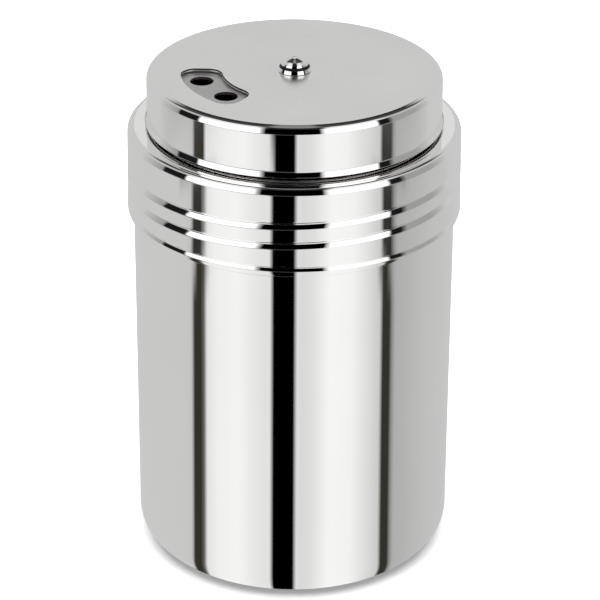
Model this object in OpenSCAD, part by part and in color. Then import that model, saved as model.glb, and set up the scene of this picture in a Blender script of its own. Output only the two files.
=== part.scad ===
// Polished steel spice shaker: a drawn can, a screw-on sifter lid and a rotating dial cap.
// Millimetres, +Z up. The origin is on the can's axis, at the plane that the can stands on.

/* [Can] */
// Outer diameter of the can
can_d = 50.2; // [49.6:0.1:50.4]
// Sheet thickness of the can
can_wall = 0.5; // [0.4:0.05:0.6]
// Height of the can to the top of its curled rim
can_h = 70.1; // [70:0.05:70.1]
// Radius between the can's wall and its base
base_round = 4.5; // [3:0.5:5.5]
// Outer diameter of the neck inside the lid
neck_d = 47.8; // [47.6:0.1:48]
// Diameter of the raised panel in the base
panel_d = 34; // [20:1:38]
// Rise of the base panel above the foot ring
panel_rise = 0.8; // [0.4:0.1:1.2]

/* [Lid] */
// Outer diameter of the threaded collar
collar_d = 51.9; // [51.8:0.05:52]
// Height of the collar's lower edge
collar_z = 57.1; // [57:0.05:57.2]
// Height of the ledge on top of the collar
ledge_z = 71.5; // [71.4:0.05:71.6]
// Radius of the collar's upper edge
shoulder_round = 1.1; // [0.8:0.1:1.5]
// Sheet thickness of the lid
lid_wall = 0.4; // [0.35:0.05:0.4]
// Outer diameter of the turret that carries the sifter plate
turret_d = 44; // [43.6:0.1:44.1]
// Outer diameter of the rolled hem at the lower edge
hem_d = 52.1; // [52:0.05:52.2]

/* [Thread] */
// Rise of the rolled thread for each turn
pitch = 3.2; // [3.1:0.05:3.3]
// Depth of the groove that the thread shows on the outside of the collar
groove_depth = 0.8; // [0.75:0.05:0.85]
// Crest diameter of the thread on the neck
neck_crest_d = 50; // [49.9:0.05:50.1]

/* [Sifter] */
// Diameter of the two shaking holes
shake_hole_d = 3.5; // [3:0.1:4]
// Diameter of the medium holes
medium_hole_d = 2.2; // [1.6:0.1:2.4]
// Diameter of the fine holes
fine_hole_d = 1.2; // [0.8:0.1:1.4]

/* [Dial cap] */
// Height of the dial's flat top
top_z = 80; // [79.9:0.05:80.1]
// Outer diameter of the dial's wall
dial_d = 45.6; // [45.5:0.05:45.8]
// Sheet thickness of the dial
dial_wall = 0.45; // [0.45:0.05:0.5]
// Radius of the dial's upper edge
dial_round = 1.1; // [0.8:0.1:1.5]
// Outer diameter of the dial's flared lower edge
dial_lip_d = 46.2; // [46:0.1:46.4]
// Inner radius of the window in the dial
window_r_in = 11.2; // [10:0.1:11.6]
// Outer radius of the window in the dial
window_r_out = 17.5; // [17:0.1:18]
// Direction of the window's first end, in degrees
window_from = 178.5; // [170:0.5:185]
// Direction of the window's second end, in degrees
window_to = 236.8; // [230:0.1:240]
// Radius of the window's corners
window_corner = 2.3; // [1.5:0.1:3]

/* [Pivot] */
// Diameter of the rivet's shank
shank_d = 3; // [2.8:0.1:3.2]
// Diameter of the rivet's domed head
head_d = 5.2; // [4.8:0.1:5.6]
// Height of the rivet's domed head
head_h = 2; // [1.6:0.1:2.2]

/* [Hidden] */

STEEL = "gainsboro";
DIM_STEEL = "silver";
NYLON = "ivory";
SEAL = "whitesmoke";

// Smoothness of the turned shapes, and the slack that cuts and joints between them use
smooth = 96;
eps = 0.05;
// Free space between a turning face and its neighbour
running = 0.05;

can_r = can_d / 2;
neck_r = neck_d / 2;
panel_r = panel_d / 2;
rim_r = 0.8;
// The can narrows to its neck just inside the collar's lower edge
can_shoulder_z = collar_z + 0.3;
can_shoulder_h = 1.1;

collar_r = collar_d / 2;
collar_in = collar_r - lid_wall;
hem_r = hem_d / 2;
hem_h = 1.8;
hem_in = can_r + 0.2;
turret_r = turret_d / 2;
turret_round = 1;
glide_h = 0.15;
dial_under = top_z - dial_wall;
plate_z = dial_under - running - glide_h;
notch_depth = 0.4;
notch_h = 0.8;

// The collar's thread: its angles, its height at the front, and the slack at its fading ends
front = -90;
lid_thread_from = -235;
lid_thread_to = 410;
lid_thread_z = 62.8;
neck_thread_from = -200;
neck_thread_to = 250;
neck_thread_z = lid_thread_z + 1.15;
fade = 50;
step = 10;

shank_r = shank_d / 2;
pivot_hole_r = shank_r + running;
dome_r = (head_d * head_d / 4 + head_h * head_h) / (2 * head_h);
spring_h = 0.6;
spring_sheet = 0.3;
backing_h = 0.5;
washer_r = 4;
tail_h = 1;
tail_r = 2.4;

dial_r = dial_d / 2;
dial_in = dial_r - dial_wall;
lip_r = dial_lip_d / 2;
lip_z = ledge_z + 0.5;
lip_flare = 1;

seal_h = ledge_z - lid_wall - can_h - running;
seal_in = turret_r;
seal_out = neck_r + 0.5;

// Sifter holes: [radius from the axis, direction]
shake_holes = [[14.5, 192.5], [13.8, 221.5]];
medium_rows = [12.4, 16];
medium_mid = 100;
medium_gap = 15;
fine_rows = [11, 13.2, 15.4, 17.6];
fine_mid = -20;
fine_gap = 11;

// ---- shared shapes ----

// A solid of revolution's half section: a block from the axis to r with its upper edge rounded
module domed_half(r, z0, z1, corner) {
    translate([0, z0]) square([r, z1 - z0 - corner]);
    translate([0, z0]) square([r - corner, z1 - z0]);
    translate([r - corner, z1 - corner]) circle(r = corner, $fn = smooth);
}

// The same with its lower edge rounded
module bowl_half(r, z0, z1, corner) {
    translate([0, z0 + corner]) square([r, z1 - z0 - corner]);
    translate([0, z0]) square([r - corner, z1 - z0]);
    translate([r - corner, z0 + corner]) circle(r = corner, $fn = smooth);
}

module plain_ring(r_in, r_out, z0, h) {
    translate([0, 0, z0]) difference() {
        cylinder(r = r_out, h = h, $fn = smooth);
        translate([0, 0, -1]) cylinder(r = r_in, h = h + 2, $fn = smooth);
    }
}

// The point at radius r in direction a, and the points after the first of an arc of n steps
function toward(r, a) = r * [cos(a), sin(a)];
function arc(centre, r, a0, a1, n) = [for (i = [1:n]) centre + toward(r, a0 + (a1 - a0) * i / n)];

// How far a thread stands out at angle a: it fades in and out at its two ends
function thread_rise(a, a0, a1) = min(1, (a - a0) / fade, (a1 - a) / fade);

// Sweeps a section along a helix, right-handed. Each section point is [radius at no rise,
// radius at full rise, height], anticlockwise with the radius to the right and the height up.
module helix(section, z_front, a0, a1) {
    turns = round((a1 - a0) / step);
    sides = len(section);
    points = [for (i = [0:turns]) let (a = a0 + (a1 - a0) * i / turns, k = thread_rise(a, a0, a1))
              for (p = section) let (r = p[0] + (p[1] - p[0]) * k)
              [r * cos(a), r * sin(a), z_front + pitch * (a - front) / 360 + p[2]]];
    walls = [for (i = [0:turns - 1], j = [0:sides - 1])
             let (a = i * sides + j, b = i * sides + (j + 1) % sides, c = a + sides, d = b + sides)
             each [[a, b, d], [a, d, c]]];
    last = turns * sides;
    caps = [for (j = [1:sides - 2]) each [[0, j + 1, j], [last, last + j, last + j + 1]]];
    polyhedron(points = points, faces = concat(walls, caps), convexity = 6);
}

// ---- can ----

module can_outside() {
    bowl_half(can_r, 0, can_shoulder_z, base_round);
    polygon([[0, can_shoulder_z - eps], [can_r, can_shoulder_z - eps], [can_r, can_shoulder_z],
             [neck_r, can_shoulder_z + can_shoulder_h], [0, can_shoulder_z + can_shoulder_h]]);
    translate([0, can_shoulder_z]) square([neck_r, can_h - rim_r - can_shoulder_z]);
}

module can_inside() {
    inner_shoulder_z = can_shoulder_z - can_wall / 2;
    bowl_half(can_r - can_wall, can_wall, inner_shoulder_z, base_round - can_wall);
    polygon([[0, inner_shoulder_z - eps], [can_r - can_wall, inner_shoulder_z - eps],
             [can_r - can_wall, inner_shoulder_z],
             [neck_r - can_wall, inner_shoulder_z + can_shoulder_h],
             [0, inner_shoulder_z + can_shoulder_h]]);
    translate([0, inner_shoulder_z]) square([neck_r - can_wall, can_h]);
}

module can_body() {
    crest = neck_crest_d / 2;
    color(STEEL) union() {
        rotate_extrude($fn = smooth) {
            difference() {
                can_outside();
                difference() {
                    can_inside();
                    square([panel_r + can_wall, panel_rise + can_wall]);
                }
                translate([0, -1]) square([panel_r, 1 + panel_rise]);
            }
            translate([neck_r - rim_r, can_h - rim_r]) circle(r = rim_r, $fn = smooth);
        }
        helix([[neck_r - 0.2, neck_r - 0.2, -1.0], [neck_r - 0.1, crest, -0.35],
               [neck_r - 0.1, crest, 0.35], [neck_r - 0.2, neck_r - 0.2, 1.0]],
              neck_thread_z, neck_thread_from, neck_thread_to);
    }
}

// ---- lid ----

module collar_half() {
    difference() {
        union() {
            domed_half(collar_r, collar_z + hem_h, ledge_z, shoulder_round);
            domed_half(turret_r, collar_z + hem_h, plate_z, turret_round);
            translate([0, collar_z]) square([collar_r, 2 * hem_h]);
            translate([0, collar_z]) square([hem_r, hem_h - notch_h + 0.1]);
        }
        domed_half(collar_in, collar_z + hem_h + eps, ledge_z - lid_wall, shoulder_round - lid_wall);
        domed_half(turret_r - lid_wall, collar_z, plate_z - lid_wall, turret_round - lid_wall);
        translate([0, collar_z - 1]) square([hem_in, 1 + hem_h - notch_h]);
        translate([0, collar_z]) square([collar_in - notch_depth, 2 * hem_h]);
        // the level notch above the hem
        polygon([[collar_r + 1, collar_z + hem_h], [collar_r - notch_depth, collar_z + hem_h],
                 [collar_r - notch_depth * 0.7, collar_z + hem_h - notch_h * 0.4],
                 [collar_r, collar_z + hem_h - notch_h], [collar_r + 1, collar_z + hem_h - notch_h]]);
    }
}

module sifter_holes() {
    depth = 4;
    module hole(r, dir, d) {
        translate(concat(toward(r, dir), plate_z - depth / 2))
            cylinder(r = d / 2, h = depth, $fn = 32);
    }
    for (h = shake_holes) hole(h[0], h[1], shake_hole_d);
    for (row = medium_rows, k = [-1:1]) hole(row, medium_mid + k * medium_gap, medium_hole_d);
    for (i = [0:len(fine_rows) - 1], k = [-2:2 - i % 2])
        hole(fine_rows[i], fine_mid + (k + (i % 2) / 2) * fine_gap, fine_hole_d);
    hole(0, 0, 2 * pivot_hole_r);
}

module lid_shell() {
    ridge = collar_in - groove_depth;
    color(STEEL) difference() {
        union() {
            rotate_extrude($fn = smooth) collar_half();
            helix([[collar_in + 0.2, collar_in + 0.2, 0.45], [collar_in + 0.1, ridge, 0.05],
                   [collar_in + 0.1, ridge, -0.5], [collar_in + 0.2, collar_in + 0.2, -1.5]],
                  lid_thread_z, lid_thread_from, lid_thread_to);
        }
        helix([[collar_r + 0.6, collar_r + 0.6, 0], [collar_r + 0.05, collar_r - groove_depth, 0],
               [collar_r + 0.05, collar_r - groove_depth / 2, -0.15],
               [collar_r + 0.05, collar_r - 0.12, -0.6], [collar_r + 0.6, collar_r + 0.6, -1.1]],
              lid_thread_z, lid_thread_from, lid_thread_to);
        sifter_holes();
    }
}

module seal_ring() {
    color(SEAL) plain_ring(seal_in, seal_out, can_h + running, seal_h);
}

// ---- dial ----

// The window: a kidney slot with rounded corners, drawn as one outline
function window_outline() = let (
    inner = window_r_in + window_corner,
    outer = window_r_out - window_corner,
    turn_in = asin(window_corner / inner),
    turn_out = asin(window_corner / outer),
    far_out = window_to - turn_out,
    far_in = window_to - turn_in,
    near_in = window_from + turn_in,
    near_out = window_from + turn_out)
    concat(arc([0, 0], window_r_out, near_out, far_out, 16),
           arc(toward(outer, far_out), window_corner, far_out, window_to + 90, 8),
           arc(toward(inner, far_in), window_corner, window_to + 90, far_in + 180, 8),
           arc([0, 0], window_r_in, far_in, near_in, 12),
           arc(toward(inner, near_in), window_corner, near_in + 180, window_from + 270, 8),
           arc(toward(outer, near_out), window_corner, window_from + 270, near_out + 360, 8));

module dial_cap() {
    color(STEEL) difference() {
        rotate_extrude($fn = smooth) difference() {
            union() {
                domed_half(dial_r, lip_z, top_z, dial_round);
                polygon([[0, lip_z], [lip_r, lip_z], [lip_r, lip_z + eps], [dial_r, lip_z + lip_flare],
                         [0, lip_z + lip_flare]]);
            }
            domed_half(dial_in, lip_z - 1, dial_under, dial_round - dial_wall);
        }
        translate([0, 0, dial_under - 1]) cylinder(r = pivot_hole_r, h = 3, $fn = smooth);
        translate([0, 0, dial_under - 1]) linear_extrude(3) polygon(window_outline());
    }
}

// ---- pivot ----

module pivot_rivet() {
    head_z = top_z + running;
    tail_z = plate_z - lid_wall - spring_h - backing_h;
    color(DIM_STEEL) union() {
        intersection() {
            translate([0, 0, head_z + head_h - dome_r]) sphere(r = dome_r, $fn = smooth);
            translate([0, 0, head_z]) cylinder(r = head_d, h = 2 * head_h, $fn = smooth);
        }
        translate([0, 0, tail_z - tail_h / 2])
            cylinder(r = shank_r, h = head_z - tail_z + tail_h, $fn = smooth);
        translate([0, 0, tail_z - tail_h]) cylinder(r1 = tail_r - 0.6, r2 = tail_r, h = tail_h, $fn = smooth);
    }
}

module glide_washer() {
    color(NYLON) plain_ring(shank_r + 0.1, washer_r + 1, plate_z, glide_h);
}

// A coned spring washer: its rim bears on the plate and its bore on the backing washer
module spring_washer() {
    low = plate_z - lid_wall - spring_h;
    cone = spring_h - spring_sheet;
    color(DIM_STEEL) rotate_extrude($fn = smooth)
        polygon([[shank_r + 0.1, low], [washer_r, low + cone], [washer_r, low + spring_h],
                 [shank_r + 0.1, low + spring_sheet]]);
}

module backing_washer() {
    color(DIM_STEEL)
        plain_ring(shank_r + 0.1, washer_r, plate_z - lid_wall - spring_h - backing_h, backing_h);
}

can_body();
lid_shell();
seal_ring();
dial_cap();
pivot_rivet();
glide_washer();
spring_washer();
backing_washer();
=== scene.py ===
# A polished steel spice shaker: can, screw-on sifter lid, dial cap and its riveted pivot.
# Lengths are in millimetres until a piece is made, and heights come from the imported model.
import math

import bpy
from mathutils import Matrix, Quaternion, Vector
from mathutils.geometry import delaunay_2d_cdt
from mathutils.geometry import normal as geometry_normal


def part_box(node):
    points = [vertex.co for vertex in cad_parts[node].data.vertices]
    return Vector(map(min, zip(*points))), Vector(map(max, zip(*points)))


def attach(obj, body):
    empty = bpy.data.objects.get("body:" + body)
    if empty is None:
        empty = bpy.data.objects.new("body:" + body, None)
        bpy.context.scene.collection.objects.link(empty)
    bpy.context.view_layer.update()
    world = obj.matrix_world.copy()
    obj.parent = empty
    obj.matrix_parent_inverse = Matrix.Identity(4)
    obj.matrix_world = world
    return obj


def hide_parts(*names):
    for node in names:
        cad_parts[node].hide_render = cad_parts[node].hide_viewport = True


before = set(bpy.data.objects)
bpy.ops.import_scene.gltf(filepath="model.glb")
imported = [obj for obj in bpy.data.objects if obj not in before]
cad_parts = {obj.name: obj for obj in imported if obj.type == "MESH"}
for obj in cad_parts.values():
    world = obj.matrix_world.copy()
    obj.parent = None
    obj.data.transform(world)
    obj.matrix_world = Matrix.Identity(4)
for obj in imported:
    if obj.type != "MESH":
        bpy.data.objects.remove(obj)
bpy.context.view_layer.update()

MM = 0.001
COLUMNS = 288       # the points round every turned shape

# Which of a piece's materials a face has: its outside, its inside, a cut edge in near-black steel
# as painted shade, or a flat face
SKIN, INSIDE, CUT_PAINTED_SHADE, FLAT = range(4)


def corners(node):
    """A CAD node's largest radius, lowest height and highest height, in millimetres."""
    low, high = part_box(node)
    return high.x / MM, low.z / MM, high.z / MM


CAN_R, _, CAN_H = corners("can_body")
HEM_R, HEM_Z, PLATE_Z = corners("lid_shell")
LIP_R, LIP_Z, DIAL_Z = corners("dial_cap")
HEAD_R, TAIL_Z, HEAD_Z = corners("pivot_rivet")
SEAL_R, SEAL_Z, SEAL_TOP = corners("seal_ring")
GLIDE_R, GLIDE_Z, GLIDE_TOP = corners("glide_washer")
SPRING_R, SPRING_Z, SPRING_TOP = corners("spring_washer")
BACKING_R, BACKING_Z, BACKING_TOP = corners("backing_washer")

# Camera: the photograph's distance, height and framing, with its angles in degrees
CAMERA_DISTANCE = 452.6
CAMERA_ELEVATION = 26.6
CAMERA_AIM_Z = 40.53
CAMERA_LENS = 170.1
CAMERA_ROLL = 0.27
CAMERA_SHIFT = 0.0107

PIVOT_HOLE = 3.1    # the rivet's hole in the dial and in the sifter plate


# ---- mesh tools ----

class Surface:
    """Points, their true normals and faces, gathered before a mesh is made of them."""

    def __init__(self):
        self.points = []
        self.normals = []
        self.faces = []
        self.marks = []
        self.mark = SKIN

    def face(self, loop):
        """Adds a face with the material that is in hand."""
        self.faces.append(tuple(loop))
        self.marks.append(self.mark)

    def add(self, x, y, z, nx, ny, nz):
        self.points.append((x, y, z))
        self.normals.append((nx, ny, nz))
        return len(self.points) - 1

    def turned(self, column, r, z, nr, nz, nt=0.0):
        """A point in one column of a turned shape; nt is its normal's part along the turn."""
        a = math.tau * column / COLUMNS - math.pi
        c, s = math.cos(a), math.sin(a)
        return self.add(r * c, r * s, z, nr * c - nt * s, nr * s + nt * c, nz)

    def ring(self, station):
        return [self.turned(i, *station) for i in range(COLUMNS)]

    def join(self, a, b):
        """Faces between two loops of the same length."""
        n = len(a)
        for i in range(n):
            j = (i + 1) % n
            self.face((a[i], b[i], b[j], a[j]))

    def sweep(self, profile, start=None):
        """Rings along a profile, joined; returns the first ring and the last."""
        first = last = start
        for station in profile:
            ring = self.ring(station)
            if last:
                self.join(last, ring)
            first = first or ring
            last = ring
        return first, last

    def plate(self, rim, holes):
        """Fills the flat face between a rim and the loops of its holes."""
        loops = [rim] + holes
        flat = [i for loop in loops for i in loop]
        edges = []
        start = 0
        for loop in loops:
            n = len(loop)
            edges += [(start + k, start + (k + 1) % n) for k in range(n)]
            start += n
        spots = [Vector(self.points[i][:2]) for i in flat]
        triangles = delaunay_2d_cdt(spots, edges, [], 1, 1e-6)[2]
        outlines = [[self.points[i][:2] for i in loop] for loop in holes]
        for tri in triangles:
            centre = sum((spots[i] for i in tri), Vector((0, 0))) / 3
            if any(inside(centre, outline) for outline in outlines):
                continue
            self.face(flat[i] for i in tri)

    def hole(self, outline, z_top, z_bottom, bevel):
        """A hole's wall with softened edges; returns its loops in the two flat faces.

        outline holds points (x, y) with the direction (nx, ny) that faces into the hole. The
        upper half of the wall has near-black steel as painted shade, and the lower half the
        inside's material."""
        top = last = None
        half = math.sqrt(0.5)
        steps = [(-1, 0, 0, 1), (half - 1, half - 1, half, half), (0, -1, 1, 0)]
        levels = [(z_top + bevel * v, u * bevel, f, w) for u, v, f, w in steps]
        middle = 0.5 * (z_top + z_bottom)
        levels.append((middle + 0.01, 0, 1, 0))
        levels += [(z_bottom - bevel * v, u * bevel, f, -w) for u, v, f, w in reversed(steps)]
        was = self.mark
        for z, back, face, lift in levels:
            loop = [self.add(x + back * nx, y + back * ny, z, face * nx, face * ny, lift)
                    for x, y, nx, ny in outline]
            if last:
                # the upper half is near-black steel: painted shade on the cut edge
                self.mark = CUT_PAINTED_SHADE if z > middle else INSIDE
                self.join(loop, last)
            top = top or loop
            last = loop
        self.mark = was
        return top, last

    def make(self, name, node, body, materials):
        """Makes the piece, in metres, in place of its CAD node."""
        spots = [Vector(p) for p in self.points]
        aims = [Vector(n).normalized() for n in self.normals]
        faces = []
        for face in self.faces:
            facing = geometry_normal([spots[i] for i in face])
            agrees = facing.dot(sum((aims[i] for i in face), Vector())) > 0
            faces.append(face if agrees else face[::-1])
        mesh = bpy.data.meshes.new(name)
        mesh.from_pydata([p * MM for p in spots], [], faces)
        mesh.update()
        for material in materials:
            mesh.materials.append(material)
        for polygon, mark in zip(mesh.polygons, self.marks):
            polygon.use_smooth = True
            polygon.material_index = mark
        mesh.normals_split_custom_set_from_vertices(aims)
        piece = bpy.data.objects.new(name, mesh)
        bpy.context.scene.collection.objects.link(piece)
        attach(piece, body)
        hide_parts(node)
        return piece


def inside(spot, outline):
    """Whether a point is inside a closed outline."""
    odd = False
    for (x0, y0), (x1, y1) in zip(outline, outline[1:] + outline[:1]):
        if (y0 > spot.y) != (y1 > spot.y) and spot.x < x0 + (spot.y - y0) * (x1 - x0) / (y1 - y0):
            odd = not odd
    return odd


def arc(r, z, radius, start, end, steps=10, side=1):
    """Profile stations along an arc; side is 1 on its outside and -1 in a hollow."""
    stations = []
    for k in range(steps + 1):
        a = math.radians(start + (end - start) * k / steps)
        c, s = math.cos(a), math.sin(a)
        stations.append((r + radius * c, z + radius * s, side * c, side * s))
    return stations


def line(r0, z0, r1, z1, steps=1):
    """Profile stations along a straight wall, with the metal on its left as it runs."""
    length = math.hypot(r1 - r0, z1 - z0)
    nr, nz = (z1 - z0) / length, -(r1 - r0) / length
    return [(r0 + (r1 - r0) * k / steps, z0 + (z1 - z0) * k / steps, nr, nz)
            for k in range(steps + 1)]


def round_hole(r, direction, diameter, steps=40):
    """A round hole's outline, at a radius and in a direction from the axis."""
    a = math.radians(direction)
    x, y = r * math.cos(a), r * math.sin(a)
    outline = []
    for k in range(steps):
        b = math.tau * k / steps
        c, s = math.cos(b), math.sin(b)
        outline.append((x + diameter / 2 * c, y + diameter / 2 * s, -c, -s))
    return outline


# ---- can ----

NECK_R = 23.9
CAN_WALL = 0.5
PANEL_R = 17.0               # the raised panel in the base
PANEL_RISE = 0.8
PANEL_FILLET = 0.4
RIM_R = 0.8                  # the rolled rim
BASE_ROUND = 4.5
SHOULDER_Z = HEM_Z + 0.3     # just inside the lid's hem
SHOULDER_H = 1.1
NECK_CREST = 1.1

# The thread: right-handed, with the upper edge of one of its turns at THREAD_Z at the front. It
# starts and ends at the angles in NECK_THREAD and LID_THREAD, and fades out over FADE degrees.
PITCH = 3.2
FRONT = -90
THREAD_Z = HEM_Z + 5.7
FADE = 50
RIDGE_HALF = 0.95
NECK_THREAD = (-200, 250)
LID_THREAD = (-235, 410)


def thread_band(surface, top, bottom, z_top, z_bottom, section, z_front, span, taper=0.0):
    """The part of a wall that carries a thread, between two level rings; taper widens it downward.

    section holds the rows of one pitch from the top down: (height above the turn, radius with
    no thread, radius with the full thread, normal's radial part, normal's rise)."""
    made = {}
    first, last = span
    nearly = 1e-4

    def spot(i, turn, row):
        rise, plain, full, nr, nz = section[row]
        degrees = 360 * i / COLUMNS - 180 + 360 * turn
        z = z_front + PITCH * (degrees - FRONT) / 360 + rise
        if z > z_top - nearly:
            return top[i % COLUMNS]
        if z < z_bottom + nearly:
            return bottom[i % COLUMNS]
        key = (i % COLUMNS, round(z * 1e4))
        if key not in made:
            k = max(0.0, min(1.0, (degrees - first) / FADE, (last - degrees) / FADE))
            k = k * k * (3 - 2 * k)
            r = plain + (full - plain) * k + taper * ((z_top + z_bottom) / 2 - z)
            lean = -k * nz * PITCH / (math.tau * r)
            made[key] = surface.turned(i, r, z, nr if nr else 1e-3, k * nz, lean)
        return made[key]

    # more turns than any wall has; what lies past the two rings falls onto them and is dropped
    rows = [(turn, row) for turn in range(4, -6, -1) for row in range(len(section))]
    for (t0, r0), (t1, r1) in zip(rows, rows[1:]):
        for i in range(COLUMNS):
            loop = [spot(i, t0, r0), spot(i, t1, r1), spot(i + 1, t1, r1), spot(i + 1, t0, r0)]
            unique = [v for k, v in enumerate(loop) if v != loop[k - 1]]
            if len(set(unique)) == len(unique) > 2:
                surface.face(unique)


def ridge_section(wall, crest, half, out):
    """One pitch of a smooth ridge on a wall; out is 1 where the wall faces outward."""
    rows = []
    steps = 12
    for k in range(steps + 1):
        t = k / steps
        rise = half * (1 - 2 * t)
        swell = 0.5 - 0.5 * math.cos(math.tau * t)
        slope = (crest - wall) * 0.5 * math.tau * math.sin(math.tau * t) / (-2 * half)
        n = math.hypot(1, slope)
        rows.append((rise, wall, wall + (crest - wall) * swell, out / n, -out * slope / n))
    rows.append((-PITCH / 2, wall, wall, out, 0))
    return rows


def can_body(materials):
    """The drawn can, from the middle of its base up the outside, over the rim and back down."""
    s = Surface()
    inner = CAN_R - CAN_WALL
    wall_in = NECK_R - CAN_WALL
    foot_r = CAN_R - BASE_ROUND
    step_in = PANEL_R - 0.1 - 2 * PANEL_FILLET
    centre = s.ring((step_in, PANEL_RISE, 0, -1))
    s.plate(centre, [])
    _, last = s.sweep(arc(step_in, PANEL_RISE - PANEL_FILLET, PANEL_FILLET, 90, 0, 6, -1)[1:],
                      centre)
    _, last = s.sweep(arc(PANEL_R - 0.1, PANEL_FILLET, PANEL_FILLET, 180, 270, 6)[1:], last)
    _, last = s.sweep(arc(foot_r, BASE_ROUND, BASE_ROUND, -90, 0, 20), last)
    _, last = s.sweep(line(CAN_R, BASE_ROUND + 5, CAN_R, SHOULDER_Z - 0.5, 8), last)
    _, last = s.sweep(arc(CAN_R - 0.6, SHOULDER_Z - 0.5, 0.6, 0, 50, 6)[1:], last)
    neck_z = SHOULDER_Z + SHOULDER_H + 0.3
    _, last = s.sweep(arc(NECK_R + 0.5, neck_z, 0.5, 230, 180, 6, -1), last)
    top = s.ring((NECK_R, CAN_H - RIM_R, 1, 0))
    thread_band(s, top, last, CAN_H - RIM_R, neck_z,
                ridge_section(NECK_R, NECK_R + NECK_CREST, RIDGE_HALF, 1),
                THREAD_Z + 1.15, NECK_THREAD)
    _, last = s.sweep(arc(NECK_R - RIM_R, CAN_H - RIM_R, RIM_R, 0, 270, 24)[1:], top)
    s.mark = INSIDE
    _, last = s.sweep(arc(wall_in - 0.3, CAN_H - 2 * RIM_R - 0.3, 0.3, 90, 0, 4)[1:], last)
    low = s.ring((wall_in, SHOULDER_Z + SHOULDER_H, -1, 0))
    s.join(last, low)
    _, last = s.sweep(line(inner, SHOULDER_Z - 0.8, inner, BASE_ROUND, 6), low)
    _, last = s.sweep(arc(foot_r, BASE_ROUND, BASE_ROUND - CAN_WALL, 0, -90, 14, -1)[1:], last)
    _, last = s.sweep([(PANEL_R + 0.6, CAN_WALL, 0, 1),
                       (PANEL_R - 0.4, PANEL_RISE + CAN_WALL, 0, 1)], last)
    s.plate(last, [])
    return s.make("can_shell", "can_body", "can", materials)


# ---- lid ----

LID_WALL = 0.4
COLLAR_R = HEM_R - 0.1
LEDGE_Z = HEM_Z + 14.4
COLLAR_LEAN = 0.012          # how much the collar widens in each millimetre down
SHOULDER_R = 1.1
TURRET_R = 22.0
TURRET_ROUND = 1.0
GROOVE = 0.8                 # the depth of the step above each ring
RING_ROUND = 1.1
RING_TALL = 1.06
SHAKE_HOLES = [(14.5, 192.5, 3.5), (13.8, 221.5, 3.5)]


def sifter_holes():
    """(radius, direction, diameter) of every hole in the sifter plate."""
    holes = list(SHAKE_HOLES)
    holes += [(row, 100 + 15 * k, 2.2) for row in (12.4, 16.0) for k in (-1, 0, 1)]
    for i, row in enumerate((11.0, 13.2, 15.4, 17.6)):
        holes += [(row, -20 + 11 * (k + (i % 2) / 2), 1.2) for k in range(-2, 3 - i % 2)]
    return holes


def groove_section(wall, depth):
    """One pitch of the collar's outside: a sharp step in, then a rounded lip back out."""
    edge = 0.35
    rows = [(edge, wall, wall, 1, 0)]
    for k in range(1, 5):
        a = math.radians(16 * k)
        rows.append((edge - edge * math.sin(a), wall, wall - edge * (1 - math.cos(a)),
                     math.cos(a), -math.sin(a)))
    rows += [(0.02, wall, wall - 0.6 * depth, 0.1, -1),
             (0.005, wall, wall - 0.97 * depth, 0.5, -0.8)]
    for k in range(12, -1, -1):
        a = math.radians(6 * k)
        rows.append((-RING_TALL + RING_ROUND * math.sin(a), wall,
                     wall - RING_ROUND * (1 - math.cos(a)), math.cos(a), math.sin(a)))
    rows += [(-1.6, wall, wall, 1, 0), (-2.2, wall, wall, 1, 0)]
    return rows


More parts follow.
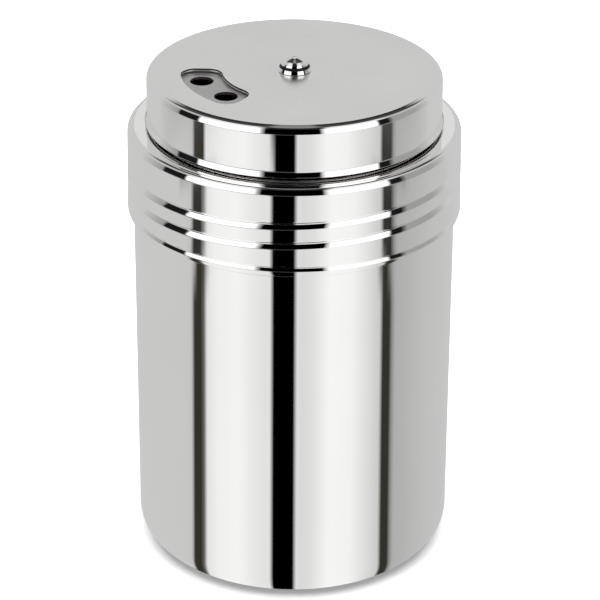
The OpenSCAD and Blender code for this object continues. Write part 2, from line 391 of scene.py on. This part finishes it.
def lid_shell(materials):
    """The screw-on lid, from its sifter plate down the outside, round the hem and back up."""
    s = Surface()
    inner = COLLAR_R - LID_WALL
    plate_under = PLATE_Z - LID_WALL
    plate_r = TURRET_R - TURRET_ROUND
    rim_top = s.ring((plate_r, PLATE_Z, 0, 1))
    rim_under = s.ring((plate_r, plate_under, 0, -1))
    tops, unders = [], []
    for r, direction, diameter in sifter_holes() + [(0, 0, PIVOT_HOLE)]:
        outline = round_hole(r, direction, diameter, 48 if diameter > 3 else 24)
        top, under = s.hole(outline, PLATE_Z, plate_under, 0.06)
        tops.append(top)
        unders.append(under)
    s.mark = FLAT
    s.plate(rim_top, tops)
    s.mark = INSIDE
    s.plate(rim_under, unders)
    s.mark = SKIN

    fillet = 0.3
    z_top = LEDGE_Z - SHOULDER_R
    profile = arc(plate_r, PLATE_Z - TURRET_ROUND, TURRET_ROUND, 90, 0, 10)[1:]
    profile += arc(TURRET_R + fillet, LEDGE_Z + fillet, fillet, 180, 270, 5, -1)
    profile += arc(COLLAR_R - 0.08 - SHOULDER_R, z_top, SHOULDER_R, 90, 0, 14)
    _, band_top = s.sweep(profile, rim_top)
    z_bottom = HEM_Z + 1.95
    band_bottom = s.ring((COLLAR_R + 0.09, z_bottom, 1, 0))
    thread_band(s, band_top, band_bottom, z_top, z_bottom, groove_section(COLLAR_R, GROOVE),
                THREAD_Z, LID_THREAD, COLLAR_LEAN)
    # the level ring above the hem, with the same step and a smaller lip
    step_z = HEM_Z + 1.8
    lip = 0.85
    lip_z = HEM_Z + 1.0
    hem_in = CAN_R + 0.1
    profile = arc(COLLAR_R + 0.03, step_z + 0.06, 0.06, 0, -90, 3)
    profile += arc(HEM_R - lip, lip_z, lip, 66, 0, 12)
    profile += arc(HEM_R - 0.9, HEM_Z + 0.9, 0.9, 0, -62, 10)
    profile += arc(hem_in + 0.1, HEM_Z + 0.1, 0.1, 300, 180, 4)
    _, last = s.sweep(profile, band_bottom)
    s.mark = INSIDE
    low_z = HEM_Z + 2.3
    profile = [(hem_in, HEM_Z + 0.8, -1, 0), (inner - 0.4, HEM_Z + 1.0, -1, 0),
               (inner - 0.4, HEM_Z + 1.8, -1, 0), (inner, low_z, -1, 0)]
    _, band_low = s.sweep(profile, last)
    under_z = LEDGE_Z - LID_WALL
    bend = SHOULDER_R - LID_WALL
    high_z = under_z - bend
    band_high = s.ring((inner, high_z, -1, 0))
    thread_band(s, band_high, band_low, high_z, low_z,
                ridge_section(inner, inner - GROOVE, RIDGE_HALF, -1), THREAD_Z - 0.5, LID_THREAD)
    turret_in = TURRET_R - LID_WALL
    bend_in = TURRET_ROUND - LID_WALL
    profile = arc(inner - bend, high_z, bend, 0, 90, 6, -1)[1:]
    profile += arc(turret_in + 0.2, under_z + 0.2, 0.2, 270, 180, 4)
    profile += arc(turret_in - bend_in, plate_under - bend_in, bend_in, 0, 90, 6, -1)[:-1]
    _, last = s.sweep(profile, band_high)
    s.join(last, rim_under)
    return s.make("sifter_lid", "lid_shell", "lid", materials)


# ---- washers and seal ----

WASHER_BORE = 1.6


def washer(name, node, body, bore, outer, low, high, materials, edge=0.06):
    """A flat ring with softened edges."""
    s = Surface()
    profile = arc(outer - edge, high - edge, edge, 90, 0, 3)
    profile += arc(outer - edge, low + edge, edge, 0, -90, 3)
    profile += arc(bore + edge, low + edge, edge, 270, 180, 3)
    profile += arc(bore + edge, high - edge, edge, 180, 90, 3)
    first, last = s.sweep(profile)
    s.join(last, first)
    return s.make(name, node, body, materials)


def coned_washer(materials):
    """The spring under the sifter plate: a washer pressed into a shallow cone."""
    s = Surface()
    bore, sheet, edge = WASHER_BORE, 0.3, 0.03
    cone = SPRING_TOP - SPRING_Z - sheet
    lean = math.hypot(SPRING_R - bore, cone)
    nr, nz = -cone / lean, (SPRING_R - bore) / lean
    top = [(bore + edge, SPRING_Z + sheet, nr, nz), (SPRING_R - edge, SPRING_TOP, nr, nz)]
    under = [(SPRING_R - edge, SPRING_Z + cone, -nr, -nz), (bore + edge, SPRING_Z, -nr, -nz)]
    rim = [(SPRING_R, SPRING_TOP - edge, 1, 0), (SPRING_R, SPRING_Z + cone + edge, 1, 0)]
    eye = [(bore, SPRING_Z + edge, -1, 0), (bore, SPRING_Z + sheet - edge, -1, 0)]
    first, last = s.sweep(top + rim + under + eye)
    s.join(last, first)
    return s.make("cone_spring", "spring_washer", "lid", materials)


# ---- dial ----

DIAL_R = 22.8
DIAL_WALL = 0.45
DIAL_ROUND = 1.1
DIAL_LEAN = 0.35      # the draft of the pressed wall, in degrees
EDGE_TURN = 79        # the top falls away a little before it rounds over: its normal's angle
EDGE_WIDE = 0.38      # and the width of that slope
FLARE_R = 1.8         # the hollow above the lip: its radius, its turn in degrees and its height
FLARE_TURN = 30
FLARE_H = 1.1
LIP_ROUND = 0.16
# The window: its radii, its two ends in degrees round the axis, and its corners
WINDOW = {"inner": 11.2, "outer": 17.5, "first": 178.5, "last": 236.8, "corner": 2.3}


def window_outline():
    """The kidney-shaped window, as points with the direction that faces into it."""
    corner = WINDOW["corner"]
    inner, outer = WINDOW["inner"] + corner, WINDOW["outer"] - corner
    first, last = WINDOW["first"], WINDOW["last"]
    turn_in, turn_out = (math.degrees(math.asin(corner / r)) for r in (inner, outer))
    outline = []

    def bend(at, direction, radius, start, end, steps, side):
        cx, cy = at * math.cos(math.radians(direction)), at * math.sin(math.radians(direction))
        for k in range(1, steps + 1):
            a = math.radians(start + (end - start) * k / steps)
            c, s = math.cos(a), math.sin(a)
            outline.append((cx + radius * c, cy + radius * s, side * c, side * s))

    bend(0, 0, WINDOW["outer"], first + turn_out, last - turn_out, 30, -1)
    bend(outer, last - turn_out, corner, last - turn_out, last + 90, 14, -1)
    bend(inner, last - turn_in, corner, last + 90, last - turn_in + 180, 14, -1)
    bend(0, 0, WINDOW["inner"], last - turn_in, first + turn_in, 22, 1)
    bend(inner, first + turn_in, corner, first + turn_in + 180, first + 270, 14, -1)
    bend(outer, first + turn_out, corner, first + 270, first + turn_out + 360, 14, -1)
    return outline


def dial_cap(materials):
    """The turning cap, from its top down the outside to the lip, and back up inside."""
    s = Surface()
    under = DIAL_Z - DIAL_WALL
    rim_r = DIAL_R - DIAL_ROUND
    slope = math.radians(90 - EDGE_TURN)
    edge_r = rim_r + DIAL_ROUND * math.sin(slope) - EDGE_WIDE
    edge_drop = EDGE_WIDE * math.tan(slope)
    round_z = DIAL_Z - edge_drop - DIAL_ROUND * math.cos(slope)
    rim_top = s.ring((edge_r - 0.02, DIAL_Z, 0, 1))
    rim_under = s.ring((rim_r, under, 0, -1))
    window_top, window_under = s.hole(window_outline(), DIAL_Z, under, 0.06)
    pivot_top, pivot_under = s.hole(round_hole(0, 0, PIVOT_HOLE), DIAL_Z, under, 0.05)
    s.mark = FLAT
    s.plate(rim_top, [window_top, pivot_top])
    s.mark = INSIDE
    s.plate(rim_under, [window_under, pivot_under])
    s.mark = SKIN
    profile = [(edge_r, DIAL_Z - 0.002, math.sin(slope), math.cos(slope))]
    profile += arc(rim_r, round_z, DIAL_ROUND, EDGE_TURN, DIAL_LEAN, 14)
    spread = (round_z - LIP_Z - FLARE_H) * math.tan(math.radians(DIAL_LEAN))
    profile += arc(DIAL_R + spread + FLARE_R, LIP_Z + FLARE_H, FLARE_R,
                   180 + DIAL_LEAN, 180 + FLARE_TURN, 8, -1)
    profile += arc(LIP_R - LIP_ROUND, LIP_Z + LIP_ROUND, LIP_ROUND, FLARE_TURN, -90, 8)
    _, last = s.sweep(profile, rim_top)
    s.mark = INSIDE
    profile = arc(DIAL_R - DIAL_WALL + 0.3, LIP_Z + 0.3, 0.3, 270, 180, 5)
    profile += arc(rim_r, DIAL_Z - DIAL_ROUND, DIAL_ROUND - DIAL_WALL, 0, 90, 6, -1)[:-1]
    _, last = s.sweep(profile, last)
    s.join(last, rim_under)
    return s.make("dial", "dial_cap", "dial", materials)


# The ring round the rivet's head, a painted dark reflection line in near-black steel: its upper
# and lower edge as angles above the middle of the head's ball, its depth, and its place in the
# rivet's materials
RING_TOP = 39
RING_LOW = 28.5
RING_DEEP = 0.05
RING_PAINTED_DARK = 1
SHANK_R = 1.5


def pivot_rivet(materials):
    """The domed head, with a fine ring of near-black steel as a painted dark reflection line, and
    the upset tail below.
    """
    s = Surface()
    head_low = DIAL_Z + 0.05
    head_h = HEAD_Z - head_low
    ball = (HEAD_R ** 2 + head_h ** 2) / (2 * head_h)
    rim = math.degrees(math.asin((ball - head_h) / ball))
    ball_z = HEAD_Z - ball
    first, last = s.sweep(arc(0, ball_z, ball, 89.5, RING_TOP, 14))
    # the ring's near-black steel is a painted dark reflection line
    s.mark = RING_PAINTED_DARK
    ring = arc(0, ball_z, ball, RING_TOP - 1, RING_LOW + 1, 4)
    _, last = s.sweep([(r - RING_DEEP * nr, z - RING_DEEP * nz, nr, nz) for r, z, nr, nz in ring],
                      last)
    _, last = s.sweep(arc(0, ball_z, ball, RING_LOW, RING_LOW - 1, 1)[:1], last)
    s.mark = SKIN
    profile = arc(0, ball_z, ball, RING_LOW - 1, rim + 2, 10)
    profile += [(HEAD_R - 0.04, head_low + 0.03, 0.8, -0.6), (HEAD_R - 0.15, head_low, 0, -1)]
    profile += arc(SHANK_R + 0.05, head_low - 0.05, 0.05, 90, 180, 3, -1)
    profile += arc(SHANK_R + 0.05, TAIL_Z + 1.05, 0.05, 180, 270, 3, -1)
    profile += arc(2.2, TAIL_Z + 0.8, 0.2, 90, 0, 5)
    profile += arc(1.7, TAIL_Z + 0.3, 0.3, -20, -90, 5)
    _, last = s.sweep(profile, last)
    s.plate(first, [])
    s.plate(last, [])
    return s.make("rivet", "pivot_rivet", "lid", materials)


# ---- materials ----

def graph(name):
    """A new material; returns it, its node tree and its shader."""
    material = bpy.data.materials.new(name)
    material.use_nodes = True
    tree = material.node_tree
    return material, tree, tree.nodes["Principled BSDF"]


def new_node(tree, kind, **settings):
    """A new node, with its inputs and its own settings by name."""
    made = tree.nodes.new(kind)
    for key, value in settings.items():
        if key in made.inputs:
            made.inputs[key].default_value = value
        else:
            setattr(made, key, value)
    return made


def ramp(tree, source, stops):
    """A ramp through given stops of (position, grey or colour)."""
    made = tree.nodes.new("ShaderNodeValToRGB")
    elements = made.color_ramp.elements
    while len(elements) > 1:
        elements.remove(elements[-1])
    for k, (place, value) in enumerate(stops):
        stop = elements[0] if k == 0 else elements.new(place)
        stop.position = place
        colour = value if isinstance(value, tuple) else (value, value, value)
        stop.color = (*colour, 1)
    tree.links.new(source, made.inputs["Fac"])
    return made.outputs["Color"]


def noise(tree, coordinates, scale, detail=3.0, stretch=(1, 1, 1)):
    """A noise pattern's value; scale is its cells in a metre."""
    place = new_node(tree, "ShaderNodeMapping")
    place.inputs["Scale"].default_value = stretch
    tree.links.new(coordinates, place.inputs["Vector"])
    made = new_node(tree, "ShaderNodeTexNoise", Scale=scale, Detail=detail)
    tree.links.new(place.outputs["Vector"], made.inputs["Vector"])
    return made.outputs["Fac"]


def turned_coordinates(tree):
    """Object coordinates, and (distance from the axis, 0, height), whose marks run round it."""
    place = new_node(tree, "ShaderNodeTexCoord").outputs["Object"]
    split = new_node(tree, "ShaderNodeSeparateXYZ")
    tree.links.new(place, split.inputs["Vector"])
    flat = new_node(tree, "ShaderNodeCombineXYZ")
    tree.links.new(split.outputs["X"], flat.inputs["X"])
    tree.links.new(split.outputs["Y"], flat.inputs["Y"])
    reach = new_node(tree, "ShaderNodeVectorMath", operation="LENGTH")
    tree.links.new(flat.outputs["Vector"], reach.inputs[0])
    joined = new_node(tree, "ShaderNodeCombineXYZ")
    tree.links.new(reach.outputs["Value"], joined.inputs["X"])
    tree.links.new(split.outputs["Z"], joined.inputs["Z"])
    return place, joined.outputs["Vector"]


def polished_steel(name, colour, roughness, ripple, rub):
    """Bright steel: a slight waviness from drawing, fine polishing lines, and rubbed patches.

    ripple is the waviness in millimetres, and rub is how far the patches dull the shine."""
    material, tree, shader = graph(name)
    place, lines = turned_coordinates(tree)
    shader.inputs["Metallic"].default_value = 1
    patches = noise(tree, place, 45, 4)
    streaks = noise(tree, lines, 5200, 2)
    tint = ramp(tree, patches, [(0.3, colour), (0.7, tuple(0.975 * c for c in colour))])
    tree.links.new(tint, shader.inputs["Base Color"])
    dull = new_node(tree, "ShaderNodeMath", operation="MULTIPLY_ADD")
    tree.links.new(ramp(tree, patches, [(0.35, 0.0), (0.75, 1.0)]), dull.inputs[0])
    dull.inputs[1].default_value = rub
    dull.inputs[2].default_value = roughness
    fine = new_node(tree, "ShaderNodeMath", operation="MULTIPLY_ADD")
    tree.links.new(streaks, fine.inputs[0])
    fine.inputs[1].default_value = rub
    tree.links.new(dull.outputs["Value"], fine.inputs[2])
    tree.links.new(fine.outputs["Value"], shader.inputs["Roughness"])
    wave = new_node(tree, "ShaderNodeBump", Strength=1.0, Distance=ripple * MM)
    tree.links.new(noise(tree, place, 60, 1.0, (1, 1, 0.35)), wave.inputs["Height"])
    tree.links.new(wave.outputs["Normal"], shader.inputs["Normal"])
    return material


def drawn_steel(name, colour, roughness):
    """The unpolished inside: dull, with the marks of the drawing punch."""
    material, tree, shader = graph(name)
    place, lines = turned_coordinates(tree)
    shader.inputs["Metallic"].default_value = 1
    grain = noise(tree, lines, 2600, 4)
    cloud = noise(tree, place, 120, 3)
    tree.links.new(ramp(tree, cloud, [(0.3, colour), (0.7, tuple(0.9 * c for c in colour))]),
                   shader.inputs["Base Color"])
    spread = new_node(tree, "ShaderNodeMath", operation="MULTIPLY_ADD")
    tree.links.new(grain, spread.inputs[0])
    spread.inputs[1].default_value = 0.15
    spread.inputs[2].default_value = roughness
    tree.links.new(spread.outputs["Value"], shader.inputs["Roughness"])
    bump = new_node(tree, "ShaderNodeBump", Strength=0.3, Distance=0.02 * MM)
    tree.links.new(grain, bump.inputs["Height"])
    tree.links.new(bump.outputs["Normal"], shader.inputs["Normal"])
    return material


def plastic(name, light, dark, roughness, grain):
    """Moulded nylon or silicone: a fine grain, slight mottling and a soft sheen below the skin."""
    material, tree, shader = graph(name)
    place = new_node(tree, "ShaderNodeTexCoord").outputs["Object"]
    shader.inputs["IOR"].default_value = 1.45
    shader.inputs["Subsurface Weight"].default_value = 0.1
    shader.inputs["Subsurface Scale"].default_value = 0.3 * MM
    tree.links.new(ramp(tree, noise(tree, place, 260, 3), [(0.3, dark), (0.7, light)]),
                   shader.inputs["Base Color"])
    speck = noise(tree, place, 3000, 2)
    tree.links.new(ramp(tree, speck, [(0.2, roughness - 0.08), (0.8, roughness + 0.08)]),
                   shader.inputs["Roughness"])
    bump = new_node(tree, "ShaderNodeBump", Strength=0.4, Distance=grain * MM)
    tree.links.new(speck, bump.inputs["Height"])
    tree.links.new(bump.outputs["Normal"], shader.inputs["Normal"])
    return material


# ---- studio ----

WHITE = 1.25
GREY = 0.60
BACK_WALL = 0.735
CARD = (0.034, 0.032, 0.026)


def booth_angles(tree):
    """The side and height angle of the direction halfway between a ray and the main sight line,
    each as a share of its whole range."""
    rise = math.radians(CAMERA_ELEVATION)
    half = new_node(tree, "ShaderNodeVectorMath", operation="ADD")
    tree.links.new(new_node(tree, "ShaderNodeTexCoord").outputs["Generated"], half.inputs[0])
    half.inputs[1].default_value = (0, -math.cos(rise), math.sin(rise))
    unit = new_node(tree, "ShaderNodeVectorMath", operation="NORMALIZE")
    tree.links.new(half.outputs["Vector"], unit.inputs[0])
    split = new_node(tree, "ShaderNodeSeparateXYZ")
    tree.links.new(unit.outputs["Vector"], split.inputs["Vector"])
    ahead = new_node(tree, "ShaderNodeMath", operation="MULTIPLY")
    tree.links.new(split.outputs["Y"], ahead.inputs[0])
    ahead.inputs[1].default_value = -1
    around = new_node(tree, "ShaderNodeMath", operation="ARCTAN2")
    tree.links.new(split.outputs["X"], around.inputs[0])
    tree.links.new(ahead.outputs["Value"], around.inputs[1])
    up = new_node(tree, "ShaderNodeMath", operation="ARCSINE")
    tree.links.new(split.outputs["Z"], up.inputs[0])

    def share(source, span):
        made = new_node(tree, "ShaderNodeMath", operation="MULTIPLY_ADD")
        tree.links.new(source.outputs["Value"], made.inputs[0])
        made.inputs[1].default_value = 1 / span
        made.inputs[2].default_value = 0.5
        return made.outputs["Value"]

    return share(around, math.tau), share(up, math.pi)


def studio_light():
    """A white product booth seen in the steel: tall soft boxes to each side of a black gap for the
    lens, black cards outside them, and a pale table and back wall.

    It is drawn over the halfway direction, because a polished part that faces that way shows it
    along the main sight line. Its angles are in degrees, and 0, 0 is level and to the front."""
    world = bpy.data.worlds.new("booth")
    bpy.context.scene.world = world
    world.use_nodes = True
    tree = world.node_tree
    side, height = booth_angles(tree)

    def by_side(*stops):
        return ramp(tree, side, [((a + 180) / 360, v) for a, v in stops])

    def by_height(*stops):
        return ramp(tree, height, [((e + 90) / 180, v) for e, v in stops])

    def blend(weight, below, above):
        mix = new_node(tree, "ShaderNodeMix", data_type="RGBA")
        tree.links.new(weight, mix.inputs["Factor"])
        tree.links.new(below, mix.inputs["A"])
        tree.links.new(above, mix.inputs["B"])
        return mix.outputs["Result"]

    def from_height(start, full, below, above):
        return blend(by_height((start, 0.0), (full, 1.0)), below, above)

    def table(left_out, left_in, right_in, right_out, gap_left=-7.2):
        """The pale table with its two dark cards, whose edges are given as side angles."""
        return by_side((-180, GREY), (left_out - 3.4, GREY), (left_out - 0.8, 0.56),
                       (left_out, CARD), (left_in, CARD), (left_in + 1.1, 0.80), (-28, 0.91),
                       (-20, 0.95), (-14, 0.84), (-9, 0.78), (gap_left - 0.6, 0.84),
                       (gap_left, 0.0), (0.3, 0.0), (1.1, 0.78), (3, 0.72), (7, 0.78), (13, 0.97),
                       (21, 0.94), (26, 0.80), (right_in - 2.5, 0.66), (right_in - 0.9, 0.62),
                       (right_in, CARD), (right_out, CARD), (right_out + 1.2, 0.44),
                       (55, 0.54), (75, 0.58), (180, GREY))

    table_edge = by_side((-180, GREY), (-66, GREY), (-50, 0.40), (-38, 0.12), (-36, 0.4),
                         (-30, 0.6), (-24, 0.55), (-17, 0.35), (-12, 0.3), (-7.6, 0.3),
                         (-7.0, 0.07), (0.2, 0.07), (1.0, 0.8), (14, 0.85), (30, 0.72),
                         (36, 0.3), (50, 0.40), (66, GREY), (180, GREY))
    boxes = by_side((-180, GREY), (-66, GREY), (-52, 0.34), (-51, 0.01), (-40.5, 0.01),
                    (-39.5, WHITE), (-13.4, WHITE), (-12.2, 0.0), (10.8, 0.0), (11.6, WHITE),
                    (34, WHITE), (35, 0.01), (40.2, 0.01), (41.5, 0.34), (55, 0.36), (66, GREY),
                    (180, GREY))
    ceiling = by_side((-180, GREY), (-66, GREY), (-42, 0.5), (-36, 0.85), (-15, 0.85), (-11, 0.02),
                      (11, 0.02), (15, 0.85), (34, 0.85), (42, 0.5), (66, GREY), (180, GREY))
    shade = by_side((-180, GREY), (-68, GREY), (-58, 0.06), (-13, 0.06), (-8, 0.26), (8, 0.26),
                    (13, 0.06), (60, 0.06), (70, GREY), (180, GREY))
    gap = by_side((-180, 0.2), (-150, 0.2), (-120, GREY), (-72, GREY), (-60, 0.03), (-13, 0.03),
                  (-8, 0.2), (8, 0.2), (13, 0.03), (62, 0.03), (74, GREY), (120, GREY),
                  (150, 0.2), (180, 0.2))
    wall = by_side((-180, BACK_WALL), (180, BACK_WALL))
    # the cards lean a little, so they cross the can, the collar and the dial in one line
    look = table(-38.1, -33.9, 33.5, 37.2)
    look = from_height(0.56, 0.62, look, table(-36.9, -32.7, 32.2, 35.8))
    look = from_height(1.63, 1.67, look, table(-42.7, -37.9, 36.4, 41.3, -8.29))
    look = from_height(2.6, 3.8, look, table_edge)
    look = from_height(6.0, 8.5, look, boxes)
    look = from_height(46, 50, look, ceiling)
    look = from_height(59, 62, look, shade)
    look = from_height(77, 78.5, look, gap)
    look = from_height(83, 84.5, look, wall)
    # the lens sees a plain white backdrop, and the steel sees the booth
    path = new_node(tree, "ShaderNodeLightPath")
    backdrop = ramp(tree, side, [(0.0, 1.0)])
    glow = new_node(tree, "ShaderNodeBackground")
    tree.links.new(blend(path.outputs["Is Camera Ray"], look, backdrop), glow.inputs["Color"])
    tree.links.new(glow.outputs["Background"], tree.nodes["World Output"].inputs["Surface"])


def studio_floor():
    """A pale table top, which stays out of the reflections."""
    mesh = bpy.data.meshes.new("floor")
    reach = 1.3
    mesh.from_pydata([(-reach, -reach, 0), (reach, -reach, 0), (reach, reach, 0),
                      (-reach, reach, 0)], [], [(0, 1, 2, 3)])
    floor = bpy.data.objects.new("floor", mesh)
    bpy.context.scene.collection.objects.link(floor)
    material, tree, shader = graph("pale_floor")
    place = new_node(tree, "ShaderNodeTexCoord").outputs["Object"]
    tree.links.new(ramp(tree, noise(tree, place, 30, 2), [(0.3, 0.93), (0.7, 0.95)]),
                   shader.inputs["Base Color"])
    shader.inputs["Roughness"].default_value = 0.9
    shader.inputs["Specular IOR Level"].default_value = 0
    mesh.materials.append(material)
    floor.visible_glossy = False


def overhead_light():
    """A wide soft box above, which lights the floor evenly and stays out of the reflections."""
    light = bpy.data.lights.new("overhead", "AREA")
    light.shape = "DISK"
    light.size = 2.4
    light.energy = 55
    lamp = bpy.data.objects.new("overhead", light)
    lamp.location = (0, 0, 1.6)
    lamp.visible_glossy = False
    bpy.context.scene.collection.objects.link(lamp)


def photo_camera():
    """The camera, at the photograph's place and angle."""
    camera = bpy.data.cameras.new("camera")
    camera.lens = CAMERA_LENS
    camera.sensor_width = 36
    camera.shift_x = CAMERA_SHIFT
    camera.clip_start = 0.01
    holder = bpy.data.objects.new("camera", camera)
    bpy.context.scene.collection.objects.link(holder)
    rise = math.radians(CAMERA_ELEVATION)
    distance = CAMERA_DISTANCE * MM
    aim = Vector((0, 0, CAMERA_AIM_Z * MM))
    holder.location = aim + Vector((0, -math.cos(rise), math.sin(rise))) * distance
    holder.rotation_mode = "QUATERNION"
    look = (aim - holder.location).to_track_quat("-Z", "Y")
    holder.rotation_quaternion = look @ Quaternion((0, 0, 1), math.radians(CAMERA_ROLL))
    bpy.context.scene.camera = holder


photo_camera()
studio_light()
studio_floor()
overhead_light()
bpy.context.scene.view_settings.view_transform = "Standard"

STEEL = (0.965, 0.96, 0.95)
outside = polished_steel("polished_steel", STEEL, 0.025, 0.0006, 0.01)
sifter = polished_steel("lid_steel", STEEL, 0.025, 0.0005, 0.01)
cap = polished_steel("cap_steel", STEEL, 0.02, 0.0004, 0.008)
rivet = polished_steel("rivet_steel", STEEL, 0.02, 0.0002, 0.01)
inside_steel = drawn_steel("drawn_steel", (0.78, 0.77, 0.75), 0.32)
satin = drawn_steel("satin_steel", (0.86, 0.85, 0.84), 0.36)
dial_top = polished_steel("dial_top_steel", STEEL, 0.24, 0.0002, 0.03)
# near-black steel: painted shade on the cut edges of the holes and the window, and a painted dark
# reflection line on the rivet's ring
painted_shade = drawn_steel("painted_shade_steel", (0.03, 0.03, 0.03), 0.4)
spring = drawn_steel("spring_steel", (0.62, 0.61, 0.60), 0.26)
nylon = plastic("nylon", (0.86, 0.84, 0.78), (0.80, 0.78, 0.71), 0.42, 0.01)
silicone = plastic("seal_silicone", (0.88, 0.88, 0.86), (0.83, 0.83, 0.81), 0.5, 0.015)

can_body([outside, inside_steel])
lid_shell([sifter, inside_steel, painted_shade, satin])
dial_cap([cap, inside_steel, painted_shade, dial_top])
pivot_rivet([rivet, painted_shade])
washer("glide_ring", "glide_washer", "lid", WASHER_BORE, GLIDE_R, GLIDE_Z, GLIDE_TOP,
       [nylon])
washer("backing_ring", "backing_washer", "lid", WASHER_BORE, BACKING_R, BACKING_Z,
       BACKING_TOP, [spring])
washer("seal", "seal_ring", "seal", TURRET_R, SEAL_R, SEAL_Z, SEAL_TOP, [silicone], 0.2)
coned_washer([spring])
